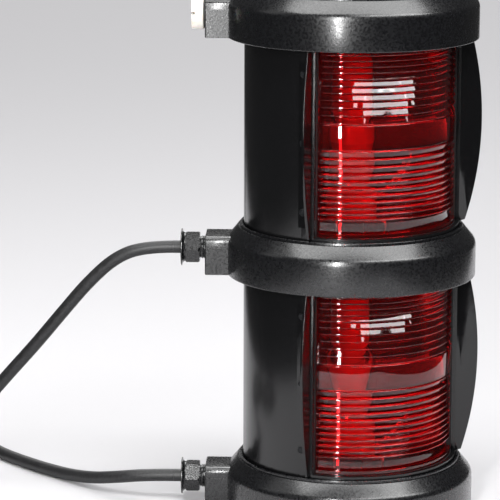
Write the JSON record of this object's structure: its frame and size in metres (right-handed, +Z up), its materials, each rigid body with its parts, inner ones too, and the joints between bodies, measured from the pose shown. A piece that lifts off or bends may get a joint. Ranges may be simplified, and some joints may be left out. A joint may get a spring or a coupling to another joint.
{
  "type": "navigation light",
  "caption": "Round black navigation light in stacked tiers, with ribbed red lenses, side screens, cable glands and supply cables.",
  "frame": {"origin": "on the rings' common axis, where it meets the surface under the bottom ring", "axes": "+Z up along the rings' axis, -Y the direction the lens faces, +X to the right of someone looking along +Y"},
  "size_m": [0.4752, 0.4839, 0.4305],
  "materials": {
    "housing_plastic": "matte black glass-filled plastic",
    "ring_plastic": "black moulded plastic with a slight sheen",
    "red_lens": "transparent red moulded lens",
    "rubber": "black rubber",
    "stainless": "stainless steel",
    "brass": "plain brass",
    "holder_plastic": "heat resistant moulding",
    "clear_glass": "clear glass",
    "nylon": "natural white nylon",
    "cable_rubber": "dark grey rubber cable jacket",
    "core_insulation": "coloured core insulation"
  },
  "bodies": {
    "base": {"base_ring": "ring_plastic", "base_ring_seal": "rubber", "lower_lamp_bracket": "stainless", "lower_bracket_screws": "stainless", "lower_lamp_holder": "holder_plastic", "lower_terminal_block": "nylon", "lower_inner_leads": "core_insulation", "lower_gland_seal": "rubber", "lower_cable_entry": "cable_rubber", "lower_cable": "cable_rubber", "lower_cable_coil": "cable_rubber", "lower_cable_cores": "core_insulation"},
    "lower_gland_thrust": {"lower_gland_washer": "brass"},
    "lower_gland_nut": {"lower_gland_screw": "ring_plastic"},
    "lower_lamp": {"lower_lamp_cap": "brass", "lower_lamp_bulb": "clear_glass", "lower_lamp_filament": "stainless"},
    "lower_lantern": {"lower_housing": "housing_plastic", "lower_lens": "red_lens", "lower_lens_gasket": "rubber", "lower_lens_clamp": "housing_plastic", "lower_screen_left": "housing_plastic", "lower_screen_right": "housing_plastic", "lower_screen_screws": "stainless", "mid_ring": "ring_plastic", "mid_ring_seal": "rubber", "mid_ring_screws": "stainless", "upper_lamp_bracket": "stainless", "upper_bracket_screws": "stainless", "upper_lamp_holder": "holder_plastic", "upper_terminal_block": "nylon", "upper_inner_leads": "core_insulation", "upper_gland_seal": "rubber", "upper_cable_entry": "cable_rubber", "upper_cable": "cable_rubber", "upper_cable_coil": "cable_rubber", "upper_cable_cores": "core_insulation"},
    "upper_gland_thrust": {"upper_gland_washer": "brass"},
    "upper_gland_nut": {"upper_gland_screw": "ring_plastic"},
    "upper_lamp": {"upper_lamp_cap": "brass", "upper_lamp_bulb": "clear_glass", "upper_lamp_filament": "stainless"},
    "upper_lantern": {"upper_housing": "housing_plastic", "upper_lens": "red_lens", "upper_lens_gasket": "rubber", "upper_lens_clamp": "housing_plastic", "upper_screen_left": "housing_plastic", "upper_screen_right": "housing_plastic", "upper_screen_screws": "stainless", "top_ring": "ring_plastic", "top_ring_seal": "rubber", "top_ring_screws": "stainless"},
    "cover": {"top_cover": "housing_plastic"},
    "plug_seal": {"blanking_washer": "rubber"},
    "plug": {"blanking_plug": "nylon"}
  },
  "joints": [
    {"name": "lower_gland_advance", "type": "slide", "parent": "base", "child": "lower_gland_thrust", "axis": [-0.809, 0.5878, 0], "range_m": [0, 0.003]},
    {"name": "lower_gland_turn", "type": "hinge", "parent": "lower_gland_thrust", "child": "lower_gland_nut", "pos_m": [0, 0, 0.0185], "axis": [-0.809, 0.5878, 0], "range_deg": [0, 720]},
    {"name": "lower_lamp_turn", "type": "hinge", "parent": "base", "child": "lower_lamp", "pos_m": [0, 0, 0.1], "axis": [0, 0, 1], "range_deg": [0, 30]},
    {"name": "lower_lantern_turn", "type": "hinge", "parent": "base", "child": "lower_lantern", "pos_m": [0, 0, 0.0243], "axis": [0, 0, 1], "range_deg": [0, 15]},
    {"name": "upper_gland_advance", "type": "slide", "parent": "lower_lantern", "child": "upper_gland_thrust", "axis": [-0.809, 0.5878, 0], "range_m": [0, 0.003]},
    {"name": "upper_gland_turn", "type": "hinge", "parent": "upper_gland_thrust", "child": "upper_gland_nut", "pos_m": [0, 0, 0.2055], "axis": [-0.809, 0.5878, 0], "range_deg": [0, 720]},
    {"name": "upper_lamp_turn", "type": "hinge", "parent": "lower_lantern", "child": "upper_lamp", "pos_m": [0, 0, 0.287], "axis": [0, 0, 1], "range_deg": [0, 30]},
    {"name": "upper_lantern_turn", "type": "hinge", "parent": "lower_lantern", "child": "upper_lantern", "pos_m": [0, 0, 0.2113], "axis": [0, 0, 1], "range_deg": [0, 15]},
    {"name": "cover_turn", "type": "hinge", "parent": "upper_lantern", "child": "cover", "pos_m": [0, 0, 0.3983], "axis": [0, 0, 1], "range_deg": [0, 15]},
    {"name": "plug_advance", "type": "slide", "parent": "upper_lantern", "child": "plug_seal", "axis": [-0.809, 0.5878, 0], "range_m": [0, 0.003]},
    {"name": "plug_turn", "type": "hinge", "parent": "plug_seal", "child": "plug", "pos_m": [0, 0, 0.3925], "axis": [-0.809, 0.5878, 0], "range_deg": [0, 720]}
  ],
  "couplings": [
    {"joint": "lower_gland_advance", "follows": "lower_gland_turn", "m_per_rad": 0.00023873},
    {"joint": "upper_gland_advance", "follows": "upper_gland_turn", "m_per_rad": 0.00023873},
    {"joint": "plug_advance", "follows": "plug_turn", "m_per_rad": 0.00023873}
  ]
}
